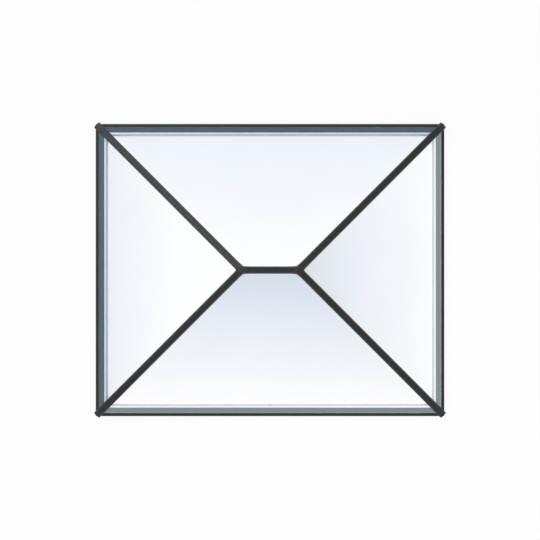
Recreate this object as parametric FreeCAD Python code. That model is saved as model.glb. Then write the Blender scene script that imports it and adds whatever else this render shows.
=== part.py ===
import FreeCAD
import Part

import collections
import math
import os

# Hipped roof lantern. Millimetres, Z up, origin under the middle of the eaves frame,
# X along the ridge. Every slope has the same pitch, so the hips run at 45 degrees in plan.

# Overall size, over the drip edges
frame_length = 2472.0
frame_width = 2072.0
pitch_deg = 25.0
glass_edge_height = 62.0

# Double-glazed units
outer_pane = 6.0
glass_cavity = 12.0
inner_pane = 6.0
spacer_width = 7.0
seal_width = 3.0
hip_glass_gap = 18.0
ridge_glass_gap = 20.0

# Rubber
bed_gasket = 4.0
bed_gasket_width = 8.0
cap_gasket = 3.0
cap_gasket_width = 6.0
gasket_margin = 1.5

# Eaves beam, in plan from the drip edge inwards
glass_inset = 22.0
beam_inset = 16.0
outer_beam_width = 42.0
break_width = 6.0
inner_beam_width = 22.5
beam_wall = 3.0
shoulder_reach = 3.0
shoulder_width = 8.3
unit_clearance = 2.0
break_height = 4.0
break_level_low = 8.0
break_level_high = 44.0

# Drip trim
trim_sheet = 2.5
trim_tuck = 12.0
trim_lip = 8.0
trim_bottom = 4.0
trim_radius = 1.0

# Fixing holes through the inner beam's foot
fixing_hole_dia = 6.5
fixings_long_side = 4
fixings_short_side = 3

# Hip rafters and ridge beam
rafter_flange_width = 48.0
rafter_flange_edge = 4.0
rafter_box_width = 34.0
rafter_depth = 82.0
rafter_chamfer = 3.0
rafter_wall = 3.0
rafter_web = 9.0

# Caps
cap_width = 50.0
cap_flat = 35.0
cap_rise = 13.0
cap_side = 6.0
cap_wall = 2.5
cap_round = 2.5
cap_stop = 28.0

# Hoods over the ends of the caps
hub_cap_wall = 2.5
hub_cap_reach = 40.0
tip_wall = 1.5
tip_inset = 7.5
tip_overhang = 10.0
tip_plate = 3.0
tip_length = 55.0

# Hubs under the ridge ends
hub_radius = 36.0
hub_depth = 98.0
hub_chamfer = 6.0
hub_stud_dia = 9.0

# Corner cleats
cleat_leg = 45.0

# Margin by which cutting shapes run past what they cut
past = 60.0

# Derived sizes
pitch = math.radians(pitch_deg)
half_length = frame_length / 2
half_width = frame_width / 2
half_ridge = half_length - half_width
ridge_height = glass_edge_height + (half_width - glass_inset) * math.tan(pitch)
hip_fall = math.atan(math.tan(pitch) / math.sqrt(2))
hip_backing = math.asin(math.sin(pitch) / math.sqrt(2))
unit_depth = outer_pane + glass_cavity + inner_pane
nose_depth = outer_pane + bed_gasket
seat_depth = unit_depth + bed_gasket
trim_depth = nose_depth - trim_sheet
inner_beam_inset = beam_inset + outer_beam_width + break_width
opening_inset = inner_beam_inset + inner_beam_width
web_inset = inner_beam_inset + beam_wall
shoulder_inset = inner_beam_inset - shoulder_reach
unit_step = shoulder_inset + shoulder_width + unit_clearance - nose_depth * math.sin(pitch)
fixing_inset = (web_inset + opening_inset) / 2
tip_run = half_width * math.sqrt(2) - tip_inset

Vec = FreeCAD.Vector
UP = Vec(0, 0, 1)

Side = collections.namedtuple("Side", "foot inward along reach edge")
SIDES = {
    "front": Side(Vec(0, 0, 0), Vec(0, 1, 0), Vec(1, 0, 0), half_ridge, half_length),
    "back": Side(Vec(0, 0, 0), Vec(0, -1, 0), Vec(-1, 0, 0), half_ridge, half_length),
    "left": Side(Vec(-half_ridge, 0, 0), Vec(1, 0, 0), Vec(0, -1, 0), 0.0, half_width),
    "right": Side(Vec(half_ridge, 0, 0), Vec(-1, 0, 0), Vec(0, 1, 0), 0.0, half_width),
}

Bar = collections.namedtuple("Bar", "node plan along up")


def hip_bar(x_sign, y_sign):
    """Axis of one hip, from its ridge node down to the corner of the frame."""
    plan = Vec(x_sign, y_sign, 0).normalize()
    along = plan * math.cos(hip_fall) - UP * math.sin(hip_fall)
    up = plan * math.sin(hip_fall) + UP * math.cos(hip_fall)
    return Bar(Vec(x_sign * half_ridge, 0, ridge_height), plan, along, up)


def ridge_bar(x_sign):
    """Axis of the ridge, seen from the node on the given side."""
    plan = Vec(-x_sign, 0, 0)
    return Bar(Vec(x_sign * half_ridge, 0, ridge_height), plan, plan, UP)


HIPS = {
    "front_left": hip_bar(-1, -1),
    "front_right": hip_bar(1, -1),
    "back_left": hip_bar(-1, 1),
    "back_right": hip_bar(1, 1),
}
NODES = {"left": -1, "right": 1}


# Flat outlines and the solids made from them

def polygon(points):
    return Part.Face(Part.makePolygon(points + [points[0]]))


def outline(points):
    """Closed profile face; a point with a third value is rounded to that radius."""
    corners = [Vec(p[0], p[1], 0) for p in points]
    edges = []
    ends = []
    for index, point in enumerate(points):
        corner = corners[index]
        if len(point) < 3:
            ends.append((corner, corner))
            continue
        back = (corners[index - 1] - corner).normalize()
        ahead = (corners[(index + 1) % len(corners)] - corner).normalize()
        half_angle = back.getAngle(ahead) / 2
        bisector = (back + ahead).normalize()
        start = corner + back * (point[2] / math.tan(half_angle))
        end = corner + ahead * (point[2] / math.tan(half_angle))
        middle = corner + bisector * (point[2] / math.sin(half_angle) - point[2])
        edges.append(Part.Arc(start, middle, end).toShape())
        ends.append((start, end))
    for index, (_, leave) in enumerate(ends):
        arrive = ends[(index + 1) % len(ends)][0]
        edges.append(Part.makeLine(leave, arrive))
    return Part.Face(Part.Wire(Part.__sortEdges__(edges)))


def mirrored(points):
    """Right half of a profile, listed from the top downwards, closed by its mirror image."""
    left = [(-p[0],) + tuple(p[1:]) for p in reversed(points) if p[0] > 0]
    return points + left


def extrude(face, origin, along, up, start, end):
    """Prism of a profile: its own Y follows up and its length follows along."""
    solid = face.extrude(Vec(0, 0, end - start))
    across = up.cross(along)
    solid.Placement = FreeCAD.Placement(origin + along * start, FreeCAD.Rotation(across, up, along, "ZYX"))
    return solid


def single(shape):
    """The one solid a cut must leave."""
    solids = shape.removeSplitter().Solids
    if len(solids) != 1:
        raise RuntimeError("expected one solid, found %d" % len(solids))
    return solids[0]


def centred_box(half_x, half_y, low, high):
    return Part.makeBox(2 * half_x, 2 * half_y, high - low, Vec(-half_x, -half_y, low))


def inside_eaves(inset):
    """Upright block over everything at least inset from the drip edges."""
    return centred_box(half_length - inset, half_width - inset, -past, ridge_height + past)


def plan_strip(bar, start, end):
    """Upright block across a bar between two plan distances from its node."""
    across = UP.cross(bar.plan)
    origin = Vec(bar.node.x, bar.node.y, -past)
    half = rafter_flange_width
    corners = [(start, -half), (end, -half), (end, half), (start, half)]
    foot = polygon([origin + bar.plan * run + across * offset for run, offset in corners])
    return foot.extrude(UP * (ridge_height + 2 * past))


def hip_roof(depth):
    """Everything under the planes that lie depth below the top of the glass."""
    top = ridge_height - depth / math.cos(pitch)
    run = (top + past) / math.tan(pitch)
    left = Vec(-half_ridge, 0, top)
    right = Vec(half_ridge, 0, top)
    front_left = Vec(-half_ridge - run, -run, -past)
    front_right = Vec(half_ridge + run, -run, -past)
    back_right = Vec(half_ridge + run, run, -past)
    back_left = Vec(-half_ridge - run, run, -past)
    faces = [
        polygon([front_left, front_right, back_right, back_left]),
        polygon([front_left, front_right, right, left]),
        polygon([back_right, back_left, left, right]),
        polygon([back_left, front_left, left]),
        polygon([front_right, back_right, right]),
    ]
    return Part.Solid(Part.Shell(faces))


def sector(side, gap=0.0):
    """Upright block over one slope's share of the plan, kept gap off its hip lines."""
    far = half_width + past
    narrow = side.reach - gap * math.sqrt(2)
    wide = narrow + far
    corners = [(-wide, far), (wide, far)]
    if narrow > 0:
        corners += [(narrow, 0), (-narrow, 0)]
    else:
        corners.append((0, -narrow))
    points = [side.foot + side.along * place - side.inward * run - UP * past for place, run in corners]
    return polygon(points).extrude(UP * (ridge_height + 2 * past))


# Eaves

def eaves_z(inset, depth):
    """Height of the plane depth under the glass, inset from the drip edge."""
    return glass_edge_height + (inset - glass_inset) * math.tan(pitch) - depth / math.cos(pitch)


def along_eaves(side, face, gap=0.0):
    """Eaves length of a profile drawn as inset and height, mitred at the hip lines."""
    edge = side.foot - side.inward * half_width
    bar = extrude(face, edge, side.along, UP, -side.edge - past, side.edge + past)
    return single(bar.common(sector(side, gap)))


def slope_strip(start, end, top, bottom):
    return outline([
        (start, eaves_z(start, top)),
        (end, eaves_z(end, top)),
        (end, eaves_z(end, bottom)),
        (start, eaves_z(start, bottom)),
    ])


def outer_beam_profile():
    """Two-chamber box under the stepped edge of the glass."""
    start = beam_inset
    end = beam_inset + outer_beam_width
    middle = (start + end) / 2
    roof_wall = beam_wall / math.cos(pitch)
    face = outline([
        (start, 0),
        (end, 0),
        (end, eaves_z(end, nose_depth)),
        (start, eaves_z(start, nose_depth)),
    ])
    chambers = [
        (start + beam_wall, middle - beam_wall / 2),
        (middle + beam_wall / 2, end - beam_wall),
    ]
    for low, high in chambers:
        face = face.cut(outline([
            (low, beam_wall),
            (high, beam_wall),
            (high, eaves_z(high, nose_depth) - roof_wall),
            (low, eaves_z(low, nose_depth) - roof_wall),
        ]))
    return face.Faces[0]


def inner_beam_profile():
    """Open channel with a fixing foot, a seat for the inner pane and a shoulder under the outer pane."""
    seat_under = seat_depth + beam_wall
    shoulder_under = nose_depth + beam_wall
    shoulder_end = shoulder_inset + shoulder_width
    return outline([
        (inner_beam_inset, 0),
        (opening_inset, 0),
        (opening_inset, beam_wall),
        (web_inset, beam_wall),
        (web_inset, eaves_z(web_inset, seat_under)),
        (opening_inset, eaves_z(opening_inset, seat_under)),
        (opening_inset, eaves_z(opening_inset, seat_depth)),
        (web_inset, eaves_z(web_inset, seat_depth)),
        (web_inset, eaves_z(web_inset, shoulder_under)),
        (shoulder_end, eaves_z(shoulder_end, shoulder_under)),
        (shoulder_end, eaves_z(shoulder_end, nose_depth)),
        (shoulder_inset, eaves_z(shoulder_inset, nose_depth)),
        (shoulder_inset, eaves_z(shoulder_inset, shoulder_under)),
        (inner_beam_inset, eaves_z(inner_beam_inset, shoulder_under)),
    ])


def trim_profile():
    """Folded sheet that lies on the beam's nose, turns down as a fascia and ends in a drip lip."""
    tuck = glass_inset + trim_tuck
    return outline([
        (tuck, eaves_z(tuck, trim_depth)),
        (0, eaves_z(0, trim_depth), trim_radius),
        (0, trim_bottom),
        (trim_lip, trim_bottom),
        (trim_lip, trim_bottom + trim_sheet),
        (trim_sheet, trim_bottom + trim_sheet),
        (trim_sheet, eaves_z(trim_sheet, nose_depth)),
        (tuck, eaves_z(tuck, nose_depth)),
    ])


def fixing_positions(side):
    """Places of the fixing holes along one side, measured from its middle."""
    count = fixings_long_side if side.reach else fixings_short_side
    spacing = 2 * (side.edge - opening_inset) / count
    return [(index - (count - 1) / 2) * spacing for index in range(count)]


def inner_beam(side):
    beam = along_eaves(side, inner_beam_profile())
    edge = side.foot - side.inward * (half_width - fixing_inset)
    for place in fixing_positions(side):
        foot = edge + side.along * place - UP * beam_wall
        beam = beam.cut(Part.makeCylinder(fixing_hole_dia / 2, 3 * beam_wall, foot, UP))
    return single(beam)


def thermal_breaks(side):
    """The two strips between the halves of the beam, stopped just short of the mitres."""
    start = beam_inset + outer_beam_width
    strips = []
    for level in (break_level_low, break_level_high):
        face = outline([
            (start, level),
            (start + break_width, level),
            (start + break_width, level + break_height),
            (start, level + break_height),
        ])
        strips.append(along_eaves(side, face, break_width / 2))
    return strips


def corner_cleats():
    """Blocks that fill the channel of the inner beams at each corner."""
    inner = inside_eaves(opening_inset)
    channel = inside_eaves(web_inset).cut(inner).common(hip_roof(seat_depth + beam_wall))
    channel = channel.common(centred_box(half_length, half_width, beam_wall, ridge_height))
    keep_x = half_length - opening_inset - cleat_leg
    keep_y = half_width - opening_inset - cleat_leg
    channel = channel.cut(centred_box(half_length, keep_y, 0, ridge_height))
    return channel.cut(centred_box(keep_x, half_width, 0, ridge_height)).Solids


# Glazing

def pane_outline(side, inset, inward=0.0):
    """Corners of a pane as place along the eaves and plan run from the ridge, drawn in by inward."""
    stretch = math.sqrt(1 + math.cos(pitch) ** 2)
    shift = (hip_glass_gap + inward) * stretch
    far = half_width - inset - inward * math.cos(pitch)
    near = (ridge_glass_gap + inward) * math.cos(pitch)
    if not side.reach:
        return [(-(far - shift), far), (far - shift, far), (0.0, shift)]
    wide = side.reach + far - shift
    narrow = side.reach + near - shift
    return [(-wide, far), (wide, far), (narrow, near), (-narrow, near)]


def slab(side, corners, top, bottom):
    """Plate square to a slope between two depths under the top of the glass."""
    normal = UP * math.cos(pitch) - side.inward * math.sin(pitch)
    lift = UP * ridge_height - normal * top
    uphill = side.inward + UP * math.tan(pitch)
    points = [side.foot + side.along * place - uphill * run + lift for place, run in corners]
    return polygon(points).extrude(normal * (top - bottom))


def glass_outer(side):
    return slab(side, pane_outline(side, glass_inset), 0.0, outer_pane)


def glass_inner(side):
    return slab(side, pane_outline(side, unit_step), outer_pane + glass_cavity, unit_depth)


def cavity_frame(side, outside, width):
    """Closed frame between the panes of a unit, a given distance in from the inner pane's edges."""
    full = slab(side, pane_outline(side, unit_step, outside), outer_pane, outer_pane + glass_cavity)
    hole = slab(side, pane_outline(side, unit_step, outside + width), 0.0, unit_depth)
    return single(full.cut(hole))


# Hip rafters, ridge beam and hubs

def saddle(offset, depth, backing):
    """Height over a bar's axis of the plane depth under the glass, offset to one side."""
    return -abs(offset) * math.tan(backing) - depth / math.cos(backing)


def rafter_profile(backing, depth):
    """Web between the panes, a sloped flange they bed on and a hollow box below."""
    web = rafter_web / 2
    flange = rafter_flange_width / 2
    box = rafter_box_width / 2
    flange_under = saddle(flange, seat_depth, backing) - rafter_flange_edge
    face = outline(mirrored([
        (0, saddle(0, -cap_gasket, backing)),
        (web, saddle(web, -cap_gasket, backing)),
        (web, saddle(web, seat_depth, backing)),
        (flange, saddle(flange, seat_depth, backing)),
        (flange, flange_under),
        (box, flange_under - rafter_chamfer),
        (box, rafter_chamfer - depth),
        (box - rafter_chamfer, -depth),
    ]))
    half = box - rafter_wall
    low = rafter_wall - depth
    top = saddle(half, seat_depth, backing) - rafter_flange_edge
    chamber = outline([(-half, low), (half, low), (half, top), (-half, top)])
    return face.cut(chamber).Faces[0]


def hub_column(x_sign):
    """Upright round space at a ridge node in which the bars stop."""
    return Part.makeCylinder(hub_radius, ridge_height + 2 * past, Vec(x_sign * half_ridge, 0, -past), UP)


def along_bar(bar, face, start, end):
    """Length of a profile on a bar, cut upright at two plan distances from the node."""
    slack = past / math.cos(hip_fall)
    length = tip_run / math.cos(hip_fall)
    solid = extrude(face, bar.node, bar.along, bar.up, -slack, length + slack)
    return solid.common(plan_strip(bar, start, end))


def hip_rafter(bar):
    face = rafter_profile(hip_backing, rafter_depth)
    rafter = along_bar(bar, face, 0.0, tip_run).common(inside_eaves(opening_inset))
    return single(rafter.cut(hub_column(math.copysign(1, bar.node.x))))


def between_hubs(solid):
    return solid.cut(hub_column(-1)).cut(hub_column(1))


def ridge_beam():
    face = rafter_profile(pitch, rafter_depth / math.cos(hip_fall))
    return single(between_hubs(along_bar(ridge_bar(-1), face, 0.0, 2 * half_ridge)))


def ridge_hub(x_sign):
    """Turned boss topped by the three seat planes, with a stud up to the end cap."""
    centre = Vec(x_sign * half_ridge, 0, 0)
    low = ridge_height - hub_depth
    profile = [
        Vec(0, 0, low),
        Vec(hub_radius - hub_chamfer, 0, low),
        Vec(hub_radius, 0, low + hub_chamfer),
        Vec(hub_radius, 0, ridge_height),
        Vec(0, 0, ridge_height),
    ]
    boss = polygon(profile).revolve(Vec(0, 0, 0), UP, 360)
    boss.translate(centre)
    boss = boss.common(hip_roof(seat_depth))
    stud = Part.makeCylinder(hub_stud_dia / 2, hub_depth + past, centre + UP * low, UP)
    return single(boss.fuse(stud.common(hub_cap_space(x_sign))))


# Caps

def cap_profile(backing, rise, underside, grow=0.0):
    """Bevelled cap outline, enlarged by grow, over the plane at the underside depth."""
    half = cap_width / 2
    flat = cap_flat / 2
    knee = saddle(half, -cap_gasket, backing) + cap_side
    bevel = math.atan2(half - flat, rise - knee)
    half_grown = half + grow
    knee_grown = knee + grow * math.tan(bevel / 2)
    flat_grown = flat + grow * (1 - math.sin(bevel)) / math.cos(bevel)
    points = mirrored([
        (flat_grown, rise + grow, cap_round),
        (half_grown, knee_grown, cap_round),
        (half_grown, saddle(half_grown, underside, backing)),
        (0, saddle(0, underside, backing)),
    ])
    return outline(points)


def hip_cap_profile(underside, grow=0.0):
    return cap_profile(hip_backing, cap_rise, underside, grow)


def ridge_cap_profile(underside, grow=0.0):
    return cap_profile(pitch, cap_rise / math.cos(hip_fall), underside, grow)


def hollow(face):
    """Profile with an even wall all round."""
    return face.cut(face.makeOffset2D(-cap_wall, 2)).Faces[0]


def hip_cap(bar):
    cap = along_bar(bar, hollow(hip_cap_profile(-cap_gasket)), cap_stop, tip_run - tip_plate)
    return single(cap.common(inside_eaves(tip_wall - tip_overhang)))


def ridge_cap():
    face = hollow(ridge_cap_profile(-cap_gasket))
    return single(along_bar(ridge_bar(-1), face, cap_stop, 2 * half_ridge - cap_stop))


def node_bars(x_sign):
    return [bar for bar in HIPS.values() if bar.node.x * x_sign > 0]


def hub_arms(x_sign, reach, underside, grow):
    """Three cap-shaped arms that meet over a ridge node."""
    arms = along_bar(ridge_bar(x_sign), ridge_cap_profile(underside, grow), 0.0, reach)
    for bar in node_bars(x_sign):
        arms = arms.fuse(along_bar(bar, hip_cap_profile(underside, grow), 0.0, reach))
    return arms


def hub_cap_space(x_sign):
    return hub_arms(x_sign, hub_cap_reach + past, seat_depth, 0.0)


def ridge_end_cap(x_sign):
    """Three-armed hood over the ends of the ridge cap and two hip caps."""
    hood = hub_arms(x_sign, hub_cap_reach, hub_cap_wall - cap_gasket, hub_cap_wall)
    return single(hood.cut(hub_cap_space(x_sign)))


def hip_end_cap(bar):
    """Hood over the foot of a hip cap, with an end plate and a toe that sits on the drip trims."""
    start = tip_run - tip_length
    hood = along_bar(bar, hip_cap_profile(tip_wall - cap_gasket, tip_wall), start, tip_run)
    space = along_bar(bar, hip_cap_profile(seat_depth), start - past, tip_run - tip_plate)
    space = space.common(inside_eaves(tip_wall - tip_overhang))
    toe = along_bar(bar, hip_cap_profile(trim_depth, tip_wall), start, tip_run)
    toe = toe.common(hip_roof(-cap_gasket)).cut(inside_eaves(glass_inset - tip_wall))
    return single(hood.cut(space).fuse(toe).common(inside_eaves(-tip_overhang)))


# Gaskets

def strip_pair(backing, middle, width, top, bottom):
    """Two strips to either side of a bar, square to the panes they touch."""
    faces = []
    for sign in (-1, 1):
        start = sign * (middle - width / 2)
        end = sign * (middle + width / 2)
        faces.append(outline([
            (start, saddle(start, top, backing)),
            (end, saddle(end, top, backing)),
            (end, saddle(end, bottom, backing)),
            (start, saddle(start, bottom, backing)),
        ]))
    return faces


def nose_gasket(side):
    """Strip under the stepped edge of the outer pane, behind the tucked edge of the trim."""
    start = glass_inset + trim_tuck + gasket_margin
    face = slope_strip(start, start + bed_gasket_width, outer_pane, nose_depth)
    return along_eaves(side, face, hip_glass_gap)


def seat_gasket(side):
    """Strip between the seat of the inner beam and the inner pane."""
    end = opening_inset - gasket_margin
    face = slope_strip(end - bed_gasket_width, end, unit_depth, seat_depth)
    return along_eaves(side, face, hip_glass_gap)


def rafter_gaskets():
    """Strips between the flanges of the bars and the inner panes."""
    middle = (rafter_flange_width - bed_gasket_width) / 2 - gasket_margin
    strips = []
    for bar in HIPS.values():
        for face in strip_pair(hip_backing, middle, bed_gasket_width, unit_depth, seat_depth):
            strip = along_bar(bar, face, 0.0, tip_run).common(inside_eaves(opening_inset))
            strips.append(single(between_hubs(strip)))
    for face in strip_pair(pitch, middle, bed_gasket_width, unit_depth, seat_depth):
        strips.append(single(between_hubs(along_bar(ridge_bar(-1), face, 0.0, 2 * half_ridge))))
    return strips


def cap_gaskets():
    """Strips between the outer panes and the caps."""
    middle = (cap_width - cap_gasket_width) / 2 - gasket_margin
    strips = []
    for bar in HIPS.values():
        for face in strip_pair(hip_backing, middle, cap_gasket_width, -cap_gasket, 0.0):
            strip = along_bar(bar, face, cap_stop, tip_run)
            strips.append(single(strip.common(inside_eaves(glass_inset))))
    for face in strip_pair(pitch, middle, cap_gasket_width, -cap_gasket, 0.0):
        strips.append(single(along_bar(ridge_bar(-1), face, cap_stop, 2 * half_ridge - cap_stop)))
    return strips


# Write one file for each named piece

def build():
    pieces = {}
    breaks = []
    spacers = []
    seals = []
    noses = []
    beds = rafter_gaskets()
    for name, side in SIDES.items():
        pieces["eaves_outer_" + name] = along_eaves(side, outer_beam_profile())
        pieces["eaves_inner_" + name] = inner_beam(side)
        pieces["drip_trim_" + name] = along_eaves(side, trim_profile())
        pieces["glass_outer_" + name] = glass_outer(side)
        pieces["glass_inner_" + name] = glass_inner(side)
        breaks += thermal_breaks(side)
        seals.append(cavity_frame(side, 0.0, seal_width))
        spacers.append(cavity_frame(side, seal_width, spacer_width))
        noses.append(nose_gasket(side))
        beds.append(seat_gasket(side))
    for name, bar in HIPS.items():
        pieces["hip_rafter_" + name] = hip_rafter(bar)
        pieces["hip_cap_" + name] = hip_cap(bar)
        pieces["hip_end_cap_" + name] = hip_end_cap(bar)
    for name, x_sign in NODES.items():
        pieces["ridge_hub_" + name] = ridge_hub(x_sign)
        pieces["ridge_end_cap_" + name] = ridge_end_cap(x_sign)
    pieces["ridge_beam"] = ridge_beam()
    pieces["ridge_cap"] = ridge_cap()
    groups = {
        "thermal_breaks": breaks,
        "spacer_bars": spacers,
        "edge_seals": seals,
        "nose_gaskets": noses,
        "bed_gaskets": beds,
        "cap_gaskets": cap_gaskets(),
        "corner_cleats": corner_cleats(),
    }
    for name, solids in groups.items():
        pieces[name] = Part.makeCompound(solids)
    return pieces


os.makedirs("parts", exist_ok=True)
for piece_name, piece in build().items():
    piece.exportStep(os.path.join("parts", piece_name + ".step"))
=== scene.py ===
import math

import bpy
from bpy.props import FloatProperty, FloatVectorProperty, PointerProperty
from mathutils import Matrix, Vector


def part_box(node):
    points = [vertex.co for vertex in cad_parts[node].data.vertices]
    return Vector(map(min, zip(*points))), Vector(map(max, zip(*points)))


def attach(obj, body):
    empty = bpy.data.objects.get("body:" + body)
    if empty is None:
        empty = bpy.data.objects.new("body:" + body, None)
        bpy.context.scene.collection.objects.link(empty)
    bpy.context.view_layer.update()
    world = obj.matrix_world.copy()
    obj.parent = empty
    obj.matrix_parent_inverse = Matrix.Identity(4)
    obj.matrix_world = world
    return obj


bl_info = {
    "name": "Roof lantern finish",
    "version": (1, 0, 0),
    "blender": (4, 5, 0),
    "location": "3D View > Sidebar > Lantern",
    "description": "Dresses a hipped roof lantern with coated metal, glass, rubber and small fixings",
    "category": "Object",
}

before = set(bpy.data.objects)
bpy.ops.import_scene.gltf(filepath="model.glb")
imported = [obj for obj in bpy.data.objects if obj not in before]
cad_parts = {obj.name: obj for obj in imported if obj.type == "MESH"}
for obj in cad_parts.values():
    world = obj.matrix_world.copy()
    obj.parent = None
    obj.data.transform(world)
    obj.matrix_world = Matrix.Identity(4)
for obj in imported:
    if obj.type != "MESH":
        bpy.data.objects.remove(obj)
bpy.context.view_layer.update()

SIDES = ("front", "back", "left", "right")
CORNERS = ("front_left", "front_right", "back_left", "back_right")
CORNER_SIGNS = ((-1, -1), (1, -1), (-1, 1), (1, 1))
ENDS = ("left", "right")
BODY = "root"
UP = Vector((0, 0, 1))

# Shares of a lip's radius by which it is tucked under the edge beside it
BAR_LIP_TUCK = 0.4
EAVES_LIP_TUCK = 0.8
LIP_SIDES = 10

# Plan runs from a ridge node at which the lips start, clear of the ridge end caps and of the hubs
CAP_LIP_START = 0.040
BED_LIP_START = 0.036

# Screw places, in metres
TIP_PLATE_INSET = 0.0075
TIP_SCREW_ASIDE = 0.0125
TIP_SCREW_RISE = 0.0035
CLEAT_SCREW_ASIDE = 0.034
CLEAT_SCREW_HEIGHT = 0.024

# Screw heads, in radii of the head
SCREW_SIDES = 20
HEAD_BARREL = 0.7
HEAD_RISE = 0.2
HEAD_CROWN = 0.22
HEAD_CROWN_DRAW = 0.74
SOCKET_RADIUS = 0.46
SOCKET_DEPTH = 0.7
SOCKET_RISE = 0.72

# Range in which a noise's values mostly lie
NOISE_SPAN = (0.3, 0.7)

# Pattern scales, in cells to the metre
COAT_DRIFT = 2.6
COAT_SPECK = 950.0
COAT_DUST = 105.0
COAT_PATCH = 38.0
COAT_PEEL = 620.0
HOOD_GRAIN = 900.0
HOOD_DRIFT = 30.0
CAST_SAND = 420.0
CAST_DRIFT = 26.0
PANE_WASH = 1.7
PANE_STREAK = 9.0
SPACER_HOLES = 330.0
SPACER_STREAK = 60.0
RUBBER_BLOOM = 14.0
SCREW_GRIME = 700.0

# Rounding of edges and depths of relief, in metres
EDGE_SAMPLES = 4
COAT_EDGE = 0.0005
HOOD_EDGE = 0.0009
COAT_PEEL_DEPTH = 0.00035
HOOD_GRAIN_DEPTH = 0.0003
CAST_SKIN_DEPTH = 0.0004
PANE_WAVE_DEPTH = 0.002
SPACER_HOLE_DEPTH = 0.0003
RUBBER_PIT_DEPTH = 0.0002

# Joint of the front spacer bar: outer and inner limit from the middle, and where the front begins
SPACER_JOINT = (0.0072, 0.0066)
SPACER_FRONT = (-0.80, -0.81)

# Indices of refraction that set how much each pane mirrors
COATED_PANE_IOR = 2.617
CLEAR_PANE_IOR = 1.72

# Camera: the photograph is PICTURE_WIDTH pixels wide, and the longer drip edges span FRAME_PIXELS of them
PICTURE_WIDTH = 540
FRAME_LENGTH = 2.472
FRAME_PIXELS = 348.64
FRAME_PLANE_HEIGHT = 0.06
CAMERA_HEIGHT = 52.0
CAMERA_NUDGE = 0.0004
CAMERA_CLIP = 200.0
SENSOR_WIDTH = 36.0

# Floor: half of its side, its level and the share of its own glow
FLOOR_REACH = 40.0
FLOOR_LEVEL = -0.001
FLOOR_GLOW = 0.92

# World: strength to matt surfaces, and to shiny ones on the back left and on the front right
WORLD_SOFT = 0.56
WORLD_SHINY = (1.75, 0.08)

# World colours at the horizon and overhead, and the belt between them by height and level
WORLD_HORIZON = (0.85, 0.86, 0.88)
WORLD_TOP = (0.40, 0.42, 0.45)
WORLD_TINT = (0.92, 0.96, 1.0)
WORLD_BELT = ((0.22, 0.55), (0.45, 0.10), (0.70, 0.16), (0.80, 0.80))

# Lamps: name, place, side in metres, power in watts
LAMPS = (
    ("back_left_lamp", (-4.2, 4.2, 6.0), 6.0, 260.0),
    ("front_right_lamp", (4.8, -4.8, 5.0), 6.0, 250.0),
)

# Face of the back left lamp: its middle, half of its side, its bright core and its strength
LAMP_FACE = (-3.95, 3.75, 6.0)
LAMP_FACE_REACH = 2.4
LAMP_FACE_CORE = 0.8
LAMP_FACE_STRENGTH = 4.3

# Reflector cards: height, strength, half width and the widths of their soft edges
CARD_HEIGHT = 3.0
CARD_STRENGTH = 1.3
CARD_HALF_WIDTH = 2.2
CARD_SIDE_FADE = 0.6
CARD_RIDGE_FADE = 0.4
CARD_EAVES_MARGIN = 0.06
CARD_EAVES_END = 0.3

# Each card: name, quarter turn, and colours from the ridge, at 0, to the eaves, at 1
CARDS = (
    ("card_back", 0, ((0.0, (1.09, 0.97, 0.93)), (0.93, (0.69, 0.67, 0.78)), (0.952, (0.25, 0.37, 0.51)),
                      (0.988, (0.25, 0.37, 0.51)), (1.0, (0.18, 0.22, 0.26)))),
    ("card_left", 1, ((0.0, (1.13, 0.96, 0.96)), (0.93, (0.69, 0.63, 0.73)), (0.45, (1.01, 0.95, 0.91)),
                      (0.952, (0.29, 0.43, 0.59)), (0.988, (0.29, 0.43, 0.59)), (1.0, (0.22, 0.26, 0.30)))),
    ("card_front", 2, ((0.0, (0.0, 0.10, 0.33)), (0.928, (1.07, 0.93, 0.92)), (0.5, (0.64, 0.61, 0.67)),
                       (0.938, (1.47, 1.45, 1.46)), (0.953, (1.47, 1.45, 1.46)), (0.963, (0.80, 0.88, 0.94)),
                       (0.988, (0.80, 0.88, 0.94)), (1.0, (1.0, 1.0, 1.05)))),
    ("card_right", 3, ((0.0, (0.19, 0.19, 0.27)), (0.928, (1.01, 0.92, 0.88)), (0.45, (0.68, 0.63, 0.72)),
                       (0.938, (1.47, 1.45, 1.46)), (0.953, (1.47, 1.45, 1.46)), (0.963, (0.87, 0.96, 0.99)),
                       (0.988, (0.87, 0.96, 0.99)), (1.0, (1.15, 1.15, 1.15)))),
)


# Values a user would change

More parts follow.
